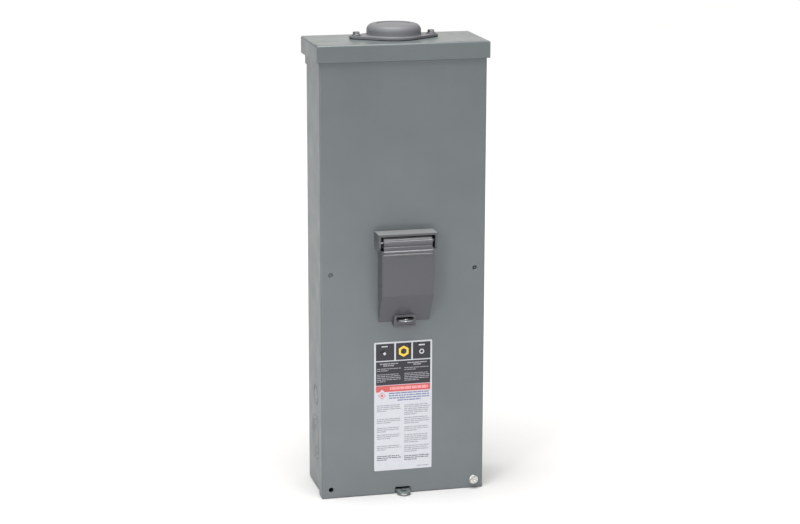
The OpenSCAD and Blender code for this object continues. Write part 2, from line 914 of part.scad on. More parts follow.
// Side view of a cheek in (y, z), with a rounded front lower corner
module cheek_profile() {
    front = face_y - bezel_out;
    r = 7;
    back = face_y - bezel_gasket_t;
    translate([front + r, cheek_low]) square([back - front - r, bezel_top - cheek_low]);
    translate([front, cheek_low + r]) square([back - front, bezel_top - cheek_low - r]);
    translate([front + r, cheek_low + r]) circle(r);
}

// Plate on the cover with a narrow tab at the bottom for the staple
module bezel_plate_outline() {
    hw = door_w / 2 - 3;
    rounded_rect([-hw, bezel_low], [hw, bezel_top - 1], 1);
    rounded_rect([-staple_hw, tab_low], [staple_hw, bezel_low + 3], 1);
}

module bezel_holes() {
    bezel_rivet_places() rod_y(rivet_d / 2 + 0.05, bezel_plate_y - over, face_y + over);
    staple_rivet_places() rod_y(small_rivet_d / 2 + 0.05, bezel_plate_y - over, face_y + over);
}

module handle_bezel() {
    cheek_in = bezel_w / 2 - bezel_cheek_t;
    rim_t = 2.5;
    rim_y = face_y - 8;
    plate_back = face_y - bezel_gasket_t;
    color("dimgray") from_bottom() difference() {
        union() {
            along_y(bezel_plate_y, plate_back) bezel_plate_outline();
            difference() {
                along_x(bezel_w) cheek_profile();
                block([-cheek_in, face_y - bezel_out - over, cheek_low - over],
                      [cheek_in, bezel_plate_y, bezel_top - bezel_roof_t]);
            }
            block([-opening_hw - rim_t, rim_y, opening_bottom - rim_t],
                  [opening_hw + rim_t, plate_back, opening_top + rim_t]);
        }
        block([-opening_hw, rim_y - over, opening_bottom],
              [opening_hw, face_y + over, opening_top]);
        translate([0, pin_y, pin_z]) rod_x(pin_d / 2 + 0.04, bezel_w + 2 * over);
        bezel_holes();
    }
}

module bezel_gasket() {
    inset = 0.5;
    color("black") from_bottom() difference() {
        along_y(face_y - bezel_gasket_t, face_y) {
            bezel_plate_outline();
            translate([-bezel_w / 2 + inset, cheek_low + inset])
                square([bezel_w - 2 * inset, bezel_top - cheek_low - 2 * inset]);
        }
        block([-opening_hw - 2, face_y - 2, opening_bottom - 2],
              [opening_hw + 2, face_y + over, opening_top + 2]);
        bezel_holes();
    }
}

module bezel_rivets() {
    color("silver") from_bottom() bezel_rivet_places() {
        rod_y(rivet_d / 2, bezel_plate_y - 0.5, cover_back_y + 0.5);
        rod_y(2.9, bezel_plate_y - 1.3, bezel_plate_y);
        rod_y(2.6, cover_back_y, cover_back_y + 0.5);
    }
}

module staple_rivet_places() {
    for (x = [-6, 6]) translate([x, 0, tab_low + 3]) children();
}

// Bent strip riveted to the bezel: its tongue takes the padlock of the door
module door_staple() {
    tongue_end = face_y - 21;
    round_r = staple_hw;
    hole_y = face_y - 15.1;
    color("silver") from_bottom() difference() {
        union() {
            block([-staple_hw, staple_leg_y, tab_low],
                  [staple_hw, bezel_plate_y, staple_z + staple_t]);
            translate([0, 0, staple_z]) linear_extrude(staple_t) {
                translate([0, tongue_end + round_r]) intersection() {
                    circle(round_r);
                    translate([-staple_hw, -round_r]) square([2 * staple_hw, round_r]);
                }
                translate([-staple_hw, tongue_end + round_r])
                    square([2 * staple_hw, staple_leg_y + 0.01 - tongue_end - round_r]);
            }
        }
        translate([0, hole_y, staple_z - over])
            cylinder(d = staple_hole_d, h = staple_t + 2 * over);
        staple_rivet_places() rod_y(small_rivet_d / 2 + 0.05, staple_leg_y - over, face_y);
    }
}

module staple_rivets() {
    color("silver") from_bottom() staple_rivet_places() {
        rod_y(small_rivet_d / 2, staple_leg_y - 0.3, face_y - 0.05);
        rod_y(2, staple_leg_y - 0.8, staple_leg_y);
    }
}

// The pin's ends lie just inside the outer faces of the cheeks
module hinge_pin() {
    color("silver") from_bottom()
        translate([0, pin_y, pin_z]) rod_x(pin_d / 2, bezel_w - 1);
}

// ---- Handle door ----

function slope_inside_y(z) = door_face + door_t + (slope_in_z - z) * slope_run / slope_rise;

module door_profile() {
    shoulder_z = cheek_low - 1;
    polygon([
        [door_face, pin_z],
        [door_face, door_bend],
        [face_y - door_foot_out, door_bottom],
        [door_back, door_bottom],
        [door_back, shoulder_z],
        [pin_y + 4, pin_z - 5],
        [pin_y, pin_z]
    ]);
}

module door_hollow() {
    below = door_bottom - 2;
    polygon([
        [door_face + door_t, pin_z - barrel_r - 1],
        [door_face + door_t, slope_in_z],
        [slope_inside_y(below), below],
        [face_y + over, below],
        [face_y + over, cheek_low],
        [pin_y + 4, pin_z - barrel_r - 1]
    ]);
}

// Raised housing around the padlock staple, with a lip along its lower edge
module hasp_housing() {
    lip_out = hasp_out + 2;
    along_y(face_y - hasp_out, face_y - 1.2)
        rounded_rect([-hasp_hw, hasp_low], [hasp_hw, hasp_high], 1.5);
    block([-hasp_hw + 1, face_y - lip_out, hasp_low],
          [hasp_hw - 1, face_y - 2, hasp_low + hasp_floor_t]);
}

// Room in the housing for the staple and for the plate of the bezel behind it
module hasp_room() {
    plate_room_y = bezel_plate_y - 0.8;
    block([-hasp_hw + hasp_wall, face_y - hasp_out + hasp_wall, hasp_low + hasp_floor_t],
          [hasp_hw - hasp_wall, face_y + over, hasp_high]);
    block([-hasp_hw - over, plate_room_y, bezel_low - 0.8],
          [hasp_hw + over, face_y + over, hasp_high + over]);
}

// Slot for the staple's tongue
module tongue_slot() {
    end_r = 3.1;
    hw = staple_hw + 1 - end_r;
    slot_z = staple_z + staple_t / 2;
    along_y(face_y - hasp_out - over, face_y - hasp_out + hasp_wall + over) {
        translate([-hw, slot_z - end_r]) square([2 * hw, 2 * end_r]);
        for (x = [-hw, hw]) translate([x, slot_z]) circle(end_r);
    }
}

module handle_door() {
    groove_z = pin_z - 4.9;
    ridge_r = 1.5;
    ridge_heights = [pin_z - 12.5, pin_z - 16.6];
    color("dimgray") from_bottom() difference() {
        union() {
            difference() {
                union() {
                    difference() {
                        along_x(door_w) door_profile();
                        along_x(door_w - 2 * door_t) door_hollow();
                    }
                    hasp_housing();
                }
                hasp_room();
                // Corners cut back beside the hinge barrel
                mirrored_x()
                    block([barrel_hw, door_face - over, cheek_low - 0.5],
                          [door_w / 2 + over, face_y, pin_z + barrel_r + over]);
            }
            translate([0, pin_y, pin_z]) rod_x(barrel_r, 2 * barrel_hw);
            for (z = ridge_heights)
                translate([0, door_face + 0.3, z]) rod_x(ridge_r, door_w - 3);
        }
        translate([0, pin_y, pin_z]) rod_x(pin_d / 2 + 0.06, door_w + 2 * over);
        // Groove under the barrel
        translate([0, door_face - 0.6, groove_z]) rod_x(1.4, door_w + 2 * over);
        tongue_slot();
    }
}

// ---- Cover screw ----

module cover_screw_washer() {
    color("silver") from_bottom() translate([corner_screw_x, 0, corner_screw_z]) difference() {
        rod_y(washer_r, washer_y, washer_y + washer_t);
        rod_y(2.56, washer_y - over, washer_y + washer_t + over);
    }
}

// Sealing screw with a washer face under its slotted, cross-drilled head
module cover_screw() {
    seat = washer_y - 0.05;
    head_t = 5.2;
    slot_t = 1.3;
    color("silver") from_bottom() translate([corner_screw_x, 0, corner_screw_z]) difference() {
        union() {
            rod_y(2.5, seat - 1, face_y + 11);
            rod_y(screw_flange_r, seat - 1.4, seat);
            rod_y(4.6, seat - head_t, seat);
        }
        block([-7, seat - head_t - over, -0.6], [7, seat - head_t + slot_t, 0.6]);
        translate([0, seat - 2.8, 0]) cylinder(r = 0.9, h = 12, center = true);
    }
}

back_box();
top_hood();
bottom_wall();
cover_hasp_tab();
corner_nut();
hub_gasket();
hub_closing_cap();
hub_screws();
hub_nuts();
mounting_pan();
pan_screws();
breaker_base();
breaker_cover();
breaker_case_screws();
breaker_mounting_screws();
line_terminals();
load_terminals();
line_lugs();
load_lugs();
lug_screws();
arc_chutes();
trip_units();
toggle_pin();
neutral_insulator();
neutral_bar();
neutral_screws();
neutral_mounting_screws();
ground_bar();
ground_screws();
front_cover();
rating_label();
handle_bezel();
bezel_gasket();
bezel_rivets();
door_staple();
staple_rivets();
hinge_pin();
handle_door();
breaker_toggle();
contact_crossbar();
contact_arms();
cover_screw_washer();
cover_screw();
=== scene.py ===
"""Looks for the rainproof circuit-breaker enclosure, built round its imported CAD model."""

import json
import math
import random

import bmesh
import bpy
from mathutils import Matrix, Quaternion, Vector


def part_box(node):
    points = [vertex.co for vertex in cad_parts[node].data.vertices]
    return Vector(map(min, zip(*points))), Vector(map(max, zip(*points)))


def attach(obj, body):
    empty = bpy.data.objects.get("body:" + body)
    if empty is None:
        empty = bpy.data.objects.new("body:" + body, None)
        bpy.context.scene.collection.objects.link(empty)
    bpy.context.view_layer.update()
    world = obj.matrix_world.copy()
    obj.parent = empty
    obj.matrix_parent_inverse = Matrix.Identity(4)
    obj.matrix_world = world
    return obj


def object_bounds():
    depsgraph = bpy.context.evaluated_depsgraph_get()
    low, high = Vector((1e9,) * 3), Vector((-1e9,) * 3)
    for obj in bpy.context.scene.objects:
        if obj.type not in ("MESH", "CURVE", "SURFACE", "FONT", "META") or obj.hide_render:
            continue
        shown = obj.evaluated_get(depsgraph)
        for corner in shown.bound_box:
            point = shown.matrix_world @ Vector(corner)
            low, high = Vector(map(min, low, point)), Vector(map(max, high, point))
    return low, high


MM = 0.001
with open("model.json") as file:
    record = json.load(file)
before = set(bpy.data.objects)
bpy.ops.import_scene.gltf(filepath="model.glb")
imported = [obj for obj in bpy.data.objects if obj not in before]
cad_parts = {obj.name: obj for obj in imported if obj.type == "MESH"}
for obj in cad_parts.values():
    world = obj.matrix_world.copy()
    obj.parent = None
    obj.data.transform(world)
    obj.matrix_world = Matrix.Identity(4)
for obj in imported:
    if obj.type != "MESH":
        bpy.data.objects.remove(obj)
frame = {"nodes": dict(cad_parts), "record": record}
cad_low, cad_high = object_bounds()
nodes = frame["nodes"]
scene = bpy.context.scene


# ---------------------------------------------------------------- materials

class Shader:
    """A material with a Principled BSDF and short calls for the nodes that feed it."""

    def __init__(self, name, **values):
        self.material = bpy.data.materials.new(name)
        self.material.use_nodes = True
        self.tree = self.material.node_tree
        self.bsdf = self.tree.nodes["Principled BSDF"]
        for socket, value in values.items():
            self.bsdf.inputs[socket.replace("_", " ")].default_value = value
        self.place = self.add("ShaderNodeTexCoord").outputs["Object"]

    def add(self, kind, settings=None, **inputs):
        made = self.tree.nodes.new(kind)
        for key, value in (settings or {}).items():
            setattr(made, key, value)
        for socket, value in inputs.items():
            target = made.inputs[socket.replace("_", " ")]
            if isinstance(value, bpy.types.NodeSocket):
                self.tree.links.new(value, target)
            else:
                target.default_value = value
        return made

    def link(self, source, socket):
        self.tree.links.new(source, self.bsdf.inputs[socket])

    def stretched(self, x, y, z):
        """Object coordinates scaled apart along the axes."""
        return self.add("ShaderNodeMapping", Vector=self.place, Scale=(x, y, z)).outputs["Vector"]

    def noise(self, scale, detail=2.0, roughness=0.5, place=None):
        made = self.add("ShaderNodeTexNoise", Vector=place or self.place, Scale=scale,
                        Detail=detail, Roughness=roughness)
        return made.outputs["Fac"]

    def spread(self, value, low, high, start=0.3, end=0.7):
        """value between start and end, turned into low to high."""
        made = self.add("ShaderNodeMapRange", Value=value)
        for socket, number in (("From Min", start), ("From Max", end), ("To Min", low), ("To Max", high)):
            made.inputs[socket].default_value = number
        return made.outputs["Result"]

    def mix(self, factor, first, second):
        """Colour that goes from first to second as factor goes from 0 to 1."""
        made = self.tree.nodes.new("ShaderNodeMix")
        made.data_type = "RGBA"
        for index, value in ((0, factor), (6, first), (7, second)):
            if isinstance(value, bpy.types.NodeSocket):
                self.tree.links.new(value, made.inputs[index])
            elif index == 0:
                made.inputs[index].default_value = value
            else:
                made.inputs[index].default_value = (*value, 1.0)
        return made.outputs[2]

    def bump(self, height, distance, strength, below=None):
        made = self.add("ShaderNodeBump", Height=height, Distance=distance, Strength=strength)
        if below is not None:
            self.tree.links.new(below, made.inputs["Normal"])
        return made.outputs["Normal"]

    def edges(self, radius, low, high):
        """0 on flat stretches, up to 1 at edges and corners."""
        rounded = self.add("ShaderNodeBevel", {"samples": 4}, Radius=radius).outputs["Normal"]
        flat = self.add("ShaderNodeNewGeometry").outputs["Normal"]
        dot = self.add("ShaderNodeVectorMath", {"operation": "DOT_PRODUCT"})
        self.tree.links.new(rounded, dot.inputs[0])
        self.tree.links.new(flat, dot.inputs[1])
        return self.spread(dot.outputs["Value"], 0.0, 1.0, start=high, end=low)


def srgb(red, green, blue):
    """Linear colour of an 8-bit display colour."""
    return tuple(((c / 255 + 0.055) / 1.055) ** 2.4 if c > 10 else c / 255 / 12.92
                 for c in (red, green, blue))


def shade(colour, factor):
    return tuple(c * factor for c in colour)


def enamel(name, colour, gloss=0.42, peel=0.5, variation=0.05, coat=0.2):
    """Baked enamel: orange peel, slow waves of the sheet, faint mottling and thin paint at edges."""
    s = Shader(name, Metallic=0.0, Specular_IOR_Level=0.45, Coat_Weight=coat, Coat_Roughness=0.2)
    mottle = s.noise(14.0, 3.0, 0.55)
    grain = s.noise(2600.0, 2.0)
    tone = s.mix(s.spread(mottle, 0, 1), shade(colour, 1 - variation), shade(colour, 1 + variation))
    speckle = s.mix(s.spread(grain, 0, 0.35, 0.45, 0.75), tone, shade(colour, 1.12))
    thin = s.edges(0.9 * MM, 0.90, 0.995)
    worn = s.add("ShaderNodeMath", {"operation": "MULTIPLY"})
    s.tree.links.new(thin, worn.inputs[0])
    s.tree.links.new(s.spread(s.noise(90.0, 4.0), 0.1, 0.55), worn.inputs[1])
    s.link(s.mix(worn.outputs[0], speckle, shade(colour, 1.5)), "Base Color")
    s.link(s.spread(s.noise(34.0, 4.0), gloss - 0.04, gloss + 0.07), "Roughness")
    waves = s.bump(s.noise(7.0, 1.0), 2.2 * MM, 0.10)
    peeled = s.bump(s.noise(620.0, 2.0), 0.12 * MM, peel, waves)
    s.link(s.bump(grain, 0.03 * MM, 0.35, peeled), "Normal")
    return s.material


def moulded(name, colour, gloss=0.45, grain_depth=0.06, speck=0.06, sheen=0.5, coat=0.0, wave=0.15,
             top_light=0.0):
    """Moulded plastic: fine spark-eroded grain, flow marks, rubbed edges and painted light on upward faces.
    """
    s = Shader(name, Metallic=0.0, Specular_IOR_Level=sheen, Coat_Weight=coat, Coat_Roughness=0.16)
    fine = s.noise(3200.0, 3.0, 0.6)
    flow = s.noise(22.0, 4.0, 0.6, s.stretched(1.0, 1.0, 0.35))
    tone = s.mix(s.spread(flow, 0, 1), shade(colour, 1 - speck), shade(colour, 1 + speck))
    # Painted light: faces that point up are made paler, as if lit from above
    if top_light:
        normal = s.add("ShaderNodeNewGeometry").outputs["Normal"]
        upward = s.add("ShaderNodeSeparateXYZ", Vector=normal).outputs["Z"]
        tone = s.mix(s.spread(upward, 0, top_light, 0.3, 0.95), tone, PAINTED_TOP_LIGHT)
    rubbed = s.edges(0.6 * MM, 0.88, 0.995)
    s.link(s.mix(s.spread(rubbed, 0, 0.45, 0, 1), tone, shade(colour, 1.7)), "Base Color")
    s.link(s.spread(s.noise(120.0, 3.0), gloss - 0.05, gloss + 0.08), "Roughness")
    low = s.bump(flow, 0.4 * MM, wave)
    s.link(s.bump(fine, grain_depth * MM, 0.6, low), "Normal")
    return s.material


def metal(name, colour, gloss=0.3, stretch=(1.0, 1.0, 1.0), stain=0.15, depth=0.02):
    """Plated or bare metal: tool or grain marks, and cloudy plating that varies in tone and gloss."""
    s = Shader(name, Metallic=1.0)
    cloud = s.noise(180.0, 4.0, 0.6)
    lines = s.noise(1500.0, 3.0, 0.6, s.stretched(*stretch))
    tone = s.mix(s.spread(cloud, 0, 1), shade(colour, 1 - stain), colour)
    s.link(s.mix(s.spread(lines, 0, 0.3), tone, shade(colour, 0.75)), "Base Color")
    s.link(s.spread(cloud, gloss - 0.06, gloss + 0.14), "Roughness")
    s.link(s.bump(lines, depth * MM, 0.6), "Normal")
    return s.material


def soft_rubber(name, colour):
    """Die-cut gasket: matt, with a fine open-cell surface."""
    s = Shader(name, Specular_IOR_Level=0.3)
    cells = s.add("ShaderNodeTexVoronoi", Vector=s.place, Scale=1400.0).outputs["Distance"]
    s.link(s.mix(s.spread(cells, 0, 1, 0.1, 0.6), shade(colour, 0.6), shade(colour, 1.4)), "Base Color")
    s.link(s.spread(s.noise(200.0), 0.75, 0.92), "Roughness")
    s.link(s.bump(cells, 0.1 * MM, 0.5), "Normal")
    return s.material


def film(name, colour, gloss=0.35):
    """Printed label film: slightly uneven ink and a fine paper tooth."""
    s = Shader(name, Specular_IOR_Level=0.4)
    ink = s.noise(260.0, 3.0, 0.6)
    s.link(s.mix(s.spread(ink, 0, 1), shade(colour, 0.93), colour), "Base Color")
    s.link(s.spread(s.noise(70.0, 2.0), gloss - 0.04, gloss + 0.1), "Roughness")
    s.link(s.bump(ink, 0.02 * MM, 0.4), "Normal")
    return s.material


# Painted top light: a pale colour mixed into plastic faces that point up in the world, so they look lit from
# above
PAINTED_TOP_LIGHT = (0.24, 0.245, 0.25)

GREY_PAINT = enamel("grey_enamel", (0.114, 0.133, 0.136))
CAST_PAINT = enamel("cast_cap_enamel", (0.142, 0.145, 0.156), gloss=0.5, peel=0.9, variation=0.06,
                    coat=0.0)
# Painted shade for the dimple bottoms, one paler and one deeper
PALE_DIMPLE_SHADE = enamel("pale_dimple_shade", (0.060, 0.070, 0.072))
DEEP_DIMPLE_SHADE = enamel("deep_dimple_shade", (0.012, 0.013, 0.014), coat=0.0)
# The bezel and door plastics take painted top light on their upward faces (last argument)
BEZEL = moulded("bezel_grey", (0.051, 0.054, 0.061), gloss=0.38, sheen=0.6, coat=0.35, top_light=0.9)
POLISHED = moulded("polished_grey", (0.053, 0.0555, 0.063), gloss=0.32, grain_depth=0.004, speck=0.03,
                   sheen=0.8, coat=1.0, wave=0.0, top_light=0.55)
ZINC = metal("bright_zinc", (0.80, 0.80, 0.78), gloss=0.24, stain=0.45)
DULL_ZINC = metal("dull_zinc", (0.40, 0.41, 0.43), gloss=0.36, stain=0.35)
GALVANISED = metal("galvanised", (0.62, 0.64, 0.65), gloss=0.42, stain=0.3)
RUBBER = soft_rubber("gasket_rubber", (0.018, 0.018, 0.018))
CASE = moulded("breaker_case", (0.012, 0.012, 0.014), gloss=0.42)
INNER = moulded("phenolic", (0.07, 0.028, 0.014), gloss=0.5, speck=0.2)
TOGGLE = moulded("toggle_black", (0.01, 0.01, 0.011), gloss=0.32)
COPPER = metal("copper_strap", (0.80, 0.42, 0.24), gloss=0.32, stretch=(1.0, 1.0, 0.05), stain=0.25)
ALUMINIUM = metal("tinned_aluminium", (0.76, 0.77, 0.78), gloss=0.34, stretch=(1.0, 1.0, 0.04))
INSULATOR = moulded("insulator", srgb(214, 208, 186), gloss=0.4)
GREEN = enamel("green_plating", (0.02, 0.16, 0.05), gloss=0.35, peel=0.2)
LABEL_WHITE = film("label_white", srgb(188, 191, 195))
INK_BLACK = film("ink_black", srgb(42, 42, 47), gloss=0.3)
INK_RED = film("ink_red", srgb(187, 84, 84))
INK_PALE = film("ink_pale", srgb(150, 151, 156))
INK_BLUSH = film("ink_blush", srgb(214, 146, 146))
INK_GREY = film("ink_grey", srgb(138, 141, 147))
INK_DARK = film("ink_dark", srgb(92, 94, 102))
INK_BLUE = film("ink_blue", srgb(104, 112, 148))
INK_AMBER = film("ink_amber", srgb(226, 196, 70))

SLOT_MATERIALS = {
    "grey_paint": GREY_PAINT, "bezel_grey": BEZEL, "cap_casting": CAST_PAINT, "zinc_steel": ZINC,
    "galvanised_steel": GALVANISED, "black_rubber": RUBBER, "label_film": LABEL_WHITE,
    "breaker_case": CASE, "breaker_inner": INNER, "toggle_black": TOGGLE, "copper": COPPER,
    "tin_aluminium": ALUMINIUM, "insulator": INSULATOR, "green_screws": GREEN,
}


# ---------------------------------------------------------------- CAD nodes

# Zinc pieces that have gone dull
DULL_NODES = ("door_staple", "staple_rivets", "hinge_pin", "hub_screws", "hub_nuts", "corner_nut")

# Edge rounding of each node, in millimetres
EDGE_ROUNDING = {
    "handle_bezel": 0.7, "handle_door": 0.6, "hub_closing_cap": 0.5, "breaker_toggle": 0.6,
    "breaker_cover": 0.5, "breaker_base": 0.5, "cover_hasp_tab": 0.4, "door_staple": 0.35,
    "cover_screw": 0.25, "cover_screw_washer": 0.25, "hub_screws": 0.25, "hinge_pin": 0.2,
    "line_lugs": 0.4, "load_lugs": 0.4, "neutral_bar": 0.4, "ground_bar": 0.3,
    "top_hood": 0.25, "front_cover": 0.2, "back_box": 0.2,
}


def dress_cad_nodes():
    """Gives each CAD node its slot's material and, where it has one, its edge rounding."""
    for row in frame["record"]["subparts"]:
        piece = nodes[row["node"]]
        piece.data.materials.clear()
        dull = row["node"] in DULL_NODES
        piece.data.materials.append(DULL_ZINC if dull else SLOT_MATERIALS[row["material_slot"]])
        width = EDGE_ROUNDING.get(row["node"])
        if width:
            weld = piece.modifiers.new("weld", "WELD")
            weld.merge_threshold = 0.002 * MM
            rounding = piece.modifiers.new("rounding", "BEVEL")
            rounding.width = width * MM
            rounding.segments = 3
            rounding.limit_method = "ANGLE"
            rounding.angle_limit = math.radians(35)
            rounding.harden_normals = True


# ---------------------------------------------------------------- mesh helpers

def add_piece(name, mesh, material, body):
    """Links a bmesh as a piece of the object that rides on a body."""
    data = bpy.data.meshes.new(name)
    mesh.to_mesh(data)
    mesh.free()
    data.materials.append(material)
    piece = bpy.data.objects.new(name, data)
    scene.collection.objects.link(piece)
    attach(piece, body)
    return piece


def slab(mesh, low, high):
    """Adds a closed box between two corners to a bmesh."""
    corners = [mesh.verts.new((x, y, z)) for z in (low[2], high[2])
               for x, y in ((low[0], low[1]), (high[0], low[1]), (high[0], high[1]), (low[0], high[1]))]
    for face in ((3, 2, 1, 0), (4, 5, 6, 7), (0, 1, 5, 4), (1, 2, 6, 5), (2, 3, 7, 6), (3, 0, 4, 7)):
        mesh.faces.new([corners[i] for i in face])


def ring(mesh, centre, inner, outer, back, front, sides=32):
    """Adds a flat ring, or a disc where inner is 0, that faces -Y."""
    def circle(radius, depth):
        return [mesh.verts.new((centre[0] + radius * math.sin(math.tau * i / sides), depth,
                                centre[1] + radius * math.cos(math.tau * i / sides)))
                for i in range(sides)]
    outside, outside_back = circle(outer, front), circle(outer, back)
    if inner:
        inside, inside_back = circle(inner, front), circle(inner, back)
    for i in range(sides):
        j = (i + 1) % sides
        mesh.faces.new((outside[i], outside[j], outside_back[j], outside_back[i]))
        if inner:
            mesh.faces.new((inside[j], inside[i], inside_back[i], inside_back[j]))
            mesh.faces.new((outside[j], outside[i], inside[i], inside[j]))
            mesh.faces.new((outside_back[i], outside_back[j], inside_back[j], inside_back[i]))
    if not inner:
        mesh.faces.new(outside[::-1])
        mesh.faces.new(outside_back)


# ---------------------------------------------------------------- rating label

INK = 0.04 * MM
LEFT_COLUMN, RIGHT_COLUMN = (0.045, 0.465), (0.52, 0.96)


class Label:
    """The printed label. Places are shares of its width from the left and of its height from the top."""

    def __init__(self):
        low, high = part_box("rating_label")
        self.low, self.high, self.face = low, high, low.y

    def at(self, across, down):
        return (self.low.x + across * (self.high.x - self.low.x),
                self.high.z - down * (self.high.z - self.low.z))

    def depths(self, layer):
        return self.face - (layer - 1) * INK, self.face - layer * INK

    def block(self, mesh, left, top, right, bottom, layer=1):
        back, front = self.depths(layer)
        x0, z1 = self.at(left, top)
        x1, z0 = self.at(right, bottom)
        slab(mesh, (x0, front, z0), (x1, back, z1))

    def shape(self, mesh, across, down, inner, outer, sides, layer=1):
        """Ring or disc with straight sides; radii in millimetres."""
        back, front = self.depths(layer)
        ring(mesh, self.at(across, down), inner * MM, outer * MM, back, front, sides)

    def row(self, mesh, rng, left, right, top, height, layer):
        """One row of word-like dashes; not lettering."""
        across = left
        while across < right:
            word = min(rng.uniform(0.03, 0.11), right - across)
            if word > 0.01:
                self.block(mesh, across, top, across + word, top + height, layer)
            across += word + 0.009

    def paragraph(self, mesh, rng, column, top, bottom, pitch=0.0145, height=0.0068,
                  layer=1, centred=False):
        """Rows with ragged ends, or centred rows of different lengths."""
        left, right = column
        rows = max(1, round((bottom - top) / pitch))
        for index in range(rows):
            last = index == rows - 1 and rows > 1
            cut = (right - left) * rng.uniform(0.35, 0.65) if last else (right - left) * rng.uniform(0, 0.08)
            start = left + cut / 2 if centred else left
            self.row(mesh, rng, start, start + right - left - cut, top + index * pitch, height, layer)


def print_label():
    label = Label()
    rng = random.Random(7)

    black = bmesh.new()
    for left, right in ((0.03, 0.345), (0.375, 0.64), (0.667, 0.97)):
        label.block(black, left, 0.012, right, 0.142)
    label.block(black, 0.03, 0.150, 0.97, 0.332)
    add_piece("label_black_fields", black, INK_BLACK, "cover")

    red = bmesh.new()
    label.block(red, 0.03, 0.336, 0.97, 0.385)
    label.shape(red, 0.135, 0.412, 4.2, 5.2, 4, layer=3)
    label.shape(red, 0.135, 0.412, 0, 2.2, 4, layer=3)
    add_piece("label_red_band", red, INK_RED, "cover")

    white = bmesh.new()
    label.shape(white, 0.18, 0.088, 0, 2.4, 4, layer=2)
    label.block(white, 0.128, 0.030, 0.232, 0.038, layer=2)
    label.shape(white, 0.82, 0.086, 2.0, 3.5, 32, layer=2)
    label.block(white, 0.768, 0.030, 0.872, 0.040, layer=2)
    label.shape(white, 0.135, 0.412, 0, 8.6, 4, layer=2)
    add_piece("label_white_print", white, LABEL_WHITE, "cover")

    pale = bmesh.new()
    for column in (LEFT_COLUMN, RIGHT_COLUMN):
        label.paragraph(pale, rng, (column[0] + 0.05, column[1] - 0.05), 0.164, 0.194, height=0.008,
                        layer=2, centred=True)
        label.paragraph(pale, rng, column, 0.203, 0.232, height=0.005, layer=2)
        label.paragraph(pale, rng, column, 0.247, 0.318, pitch=0.0135, height=0.005, layer=2)
    add_piece("label_pale_print", pale, INK_PALE, "cover")

    blush = bmesh.new()
    label.row(blush, rng, 0.27, 0.93, 0.349, 0.022, 2)
    add_piece("label_band_dashes", blush, INK_BLUSH, "cover")

    amber = bmesh.new()
    label.shape(amber, 0.508, 0.077, 4.4, 7.8, 6, layer=2)
    add_piece("label_amber_emblem", amber, INK_AMBER, "cover")

    blue = bmesh.new()
    label.paragraph(blue, rng, (0.25, 0.96), 0.394, 0.468, pitch=0.0185, height=0.009, centred=True)
    add_piece("label_blue_lines", blue, INK_BLUE, "cover")

    grey = bmesh.new()
    for top, bottom in ((0.487, 0.545), (0.593, 0.633), (0.662, 0.705), (0.716, 0.760), (0.804, 0.847)):
        label.paragraph(grey, rng, LEFT_COLUMN, top, bottom)
    for top, bottom in ((0.493, 0.577), (0.591, 0.650), (0.664, 0.704), (0.726, 0.800), (0.813, 0.868)):
        label.paragraph(grey, rng, RIGHT_COLUMN, top, bottom)
    label.row(grey, rng, 0.74, 0.96, 0.975, 0.006, 1)
    add_piece("label_grey_lines", grey, INK_GREY, "cover")

    dark = bmesh.new()
    label.paragraph(dark, rng, LEFT_COLUMN, 0.884, 0.926)
    label.paragraph(dark, rng, RIGHT_COLUMN, 0.893, 0.937)
    add_piece("label_dark_lines", dark, INK_DARK, "cover")


# ---------------------------------------------------------------- handle door

# Barrel and ridges as the CAD has them; drops are measured down from the hinge pin
BARREL_R, BARREL_HALF = 6.5 * MM, 33 * MM
RIDGE_R, RIDGE_DROPS = 1.5 * MM, (12.5 * MM, 16.6 * MM)
RIDGE_SET_BACK, RIDGE_END_GAP = 0.3 * MM, 1.8 * MM

# How far a skin stands proud of the CAD surface, and how far it stops short of the barrel's ends
SKIN, SKIN_END_GAP = 0.04 * MM, 0.3 * MM


def hinge_axis():
    """Middle of the hinge pin."""
    low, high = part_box("hinge_pin")
    return (low + high) / 2


def smooth_rod(mesh, centre_y, centre_z, radius, half_length, sides=72):
    """Adds a smoothly shaded rod along X, centred on x = 0; its caps share no vertex with its side."""
    def rim(x):
        return [mesh.verts.new((x, centre_y + radius * math.sin(math.tau * i / sides),
                                centre_z + radius * math.cos(math.tau * i / sides)))
                for i in range(sides)]
    left, right = rim(-half_length), rim(half_length)
    for i in range(sides):
        j = (i + 1) % sides
        mesh.faces.new((left[i], right[i], right[j], left[j])).smooth = True
    mesh.faces.new(rim(-half_length))
    mesh.faces.new(rim(half_length)[::-1])


def polish_door():
    """Glossy skins over the hinge barrel and over the two grip ridges under it."""
    pin = hinge_axis()
    door_low, door_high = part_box("handle_door")
    half_width = (door_high.x - door_low.x) / 2
    door_face = pin.y - BARREL_R
    barrel = bmesh.new()
    smooth_rod(barrel, pin.y, pin.z, BARREL_R + SKIN, BARREL_HALF - SKIN_END_GAP)
    add_piece("door_barrel_skin", barrel, POLISHED, "door")
    ridges = bmesh.new()
    for drop in RIDGE_DROPS:
        smooth_rod(ridges, door_face + RIDGE_SET_BACK, pin.z - drop, RIDGE_R + SKIN,
                   half_width - RIDGE_END_GAP)
    add_piece("door_ridge_skins", ridges, POLISHED, "door")


# ---------------------------------------------------------------- cover dimples

# The dimples as the CAD has them; the drop is measured down from the hinge pin
DIMPLE_X, DIMPLE_DROP, DIMPLE_DEPTH = 99 * MM, 46.1 * MM, 1.6 * MM
# Size of the painted-shade rings in the dimple bottoms
SHADE_INNER, SHADE_OUTER, SHADE_THICKNESS = 0.9 * MM, 2.5 * MM, 0.15 * MM


